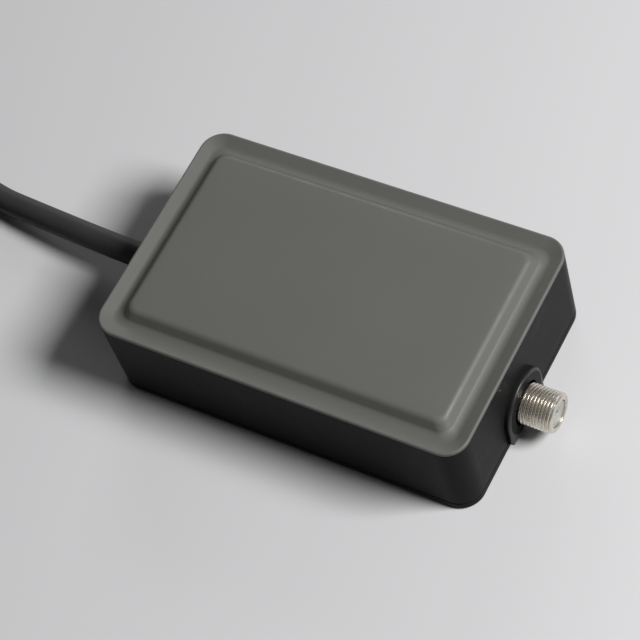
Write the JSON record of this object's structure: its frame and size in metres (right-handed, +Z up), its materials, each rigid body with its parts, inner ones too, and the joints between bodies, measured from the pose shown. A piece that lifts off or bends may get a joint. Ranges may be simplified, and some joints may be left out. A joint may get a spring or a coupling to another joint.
{
  "type": "tv signal amplifier",
  "caption": "Flat rounded amplifier box for an indoor television aerial, with a threaded aerial jack at one end and a captive coaxial lead at the other.",
  "frame": {"origin": "middle of the flat underside of the housing", "axes": "+X along the housing's length and out of the aerial jack, -X along the captive lead, +Y towards the side with the power inlet, +Z up through the lid"},
  "size_m": [0.2276, 0.0895, 0.0267],
  "materials": {
    "lid_plastic": "fine satin moulding texture, warm dark grey",
    "housing_plastic": "black, satin",
    "nickel_plate": "nickel plate, slightly dulled",
    "screw_steel": "zinc-plated steel",
    "white_insulator": "white, translucent at the edge",
    "contact_bronze": "gold-flashed bronze",
    "copper": "bright copper",
    "braid_wire": "fine woven wire",
    "foam_dielectric": "foamed, matt white",
    "cable_jacket": "black, soft sheen",
    "grommet_rubber": "black, matt",
    "board_laminate": "green solder mask, semi-gloss",
    "tin_plate": "tin-plated sheet",
    "moulded_case": "black moulded case",
    "capacitor_sleeve": "black sleeve, bare aluminium top",
    "ferrite": "dark grey ferrite",
    "ceramic": "tan ceramic with tinned ends",
    "thick_film": "black with tinned ends"
  },
  "bodies": {
    "amplifier": {"top_cover": "lid_plastic", "main_housing": "housing_plastic", "bottom_cover": "housing_plastic", "cover_screws": "screw_steel", "circuit_board": "board_laminate", "board_screws": "screw_steel", "f_jack_body": "nickel_plate", "f_jack_insulator": "white_insulator", "f_jack_contact": "contact_bronze", "dc_jack_housing": "moulded_case", "dc_jack_pin": "nickel_plate", "dc_jack_spring": "nickel_plate", "dc_jack_terminals": "tin_plate", "cable_grommet": "grommet_rubber", "cable_jacket_end": "cable_jacket", "cable_braid": "braid_wire", "cable_dielectric": "foam_dielectric", "cable_conductor": "copper", "cable_clamp": "housing_plastic", "clamp_screws": "screw_steel", "shield_frame": "tin_plate", "shield_lid": "tin_plate", "amplifier_chip": "moulded_case", "voltage_regulator": "moulded_case", "electrolytic_capacitors": "capacitor_sleeve", "polarity_diode": "moulded_case", "power_choke": "ferrite", "matching_transformer": "ferrite", "chip_capacitors": "ceramic", "chip_resistors": "thick_film", "coax_lead": "cable_jacket", "coax_coil": "cable_jacket", "coax_tail": "cable_jacket", "plug_sleeve": "nickel_plate", "plug_dielectric": "foam_dielectric", "plug_pin": "copper"},
    "coupling_nut": {"plug_nut": "nickel_plate"}
  },
  "joints": [
    {"name": "plug_nut_spin", "type": "hinge", "parent": "amplifier", "child": "coupling_nut", "pos_m": [-0.1665, 0.02305, 0.0065], "axis": [-1, 0, 0], "continuous": true}
  ]
}
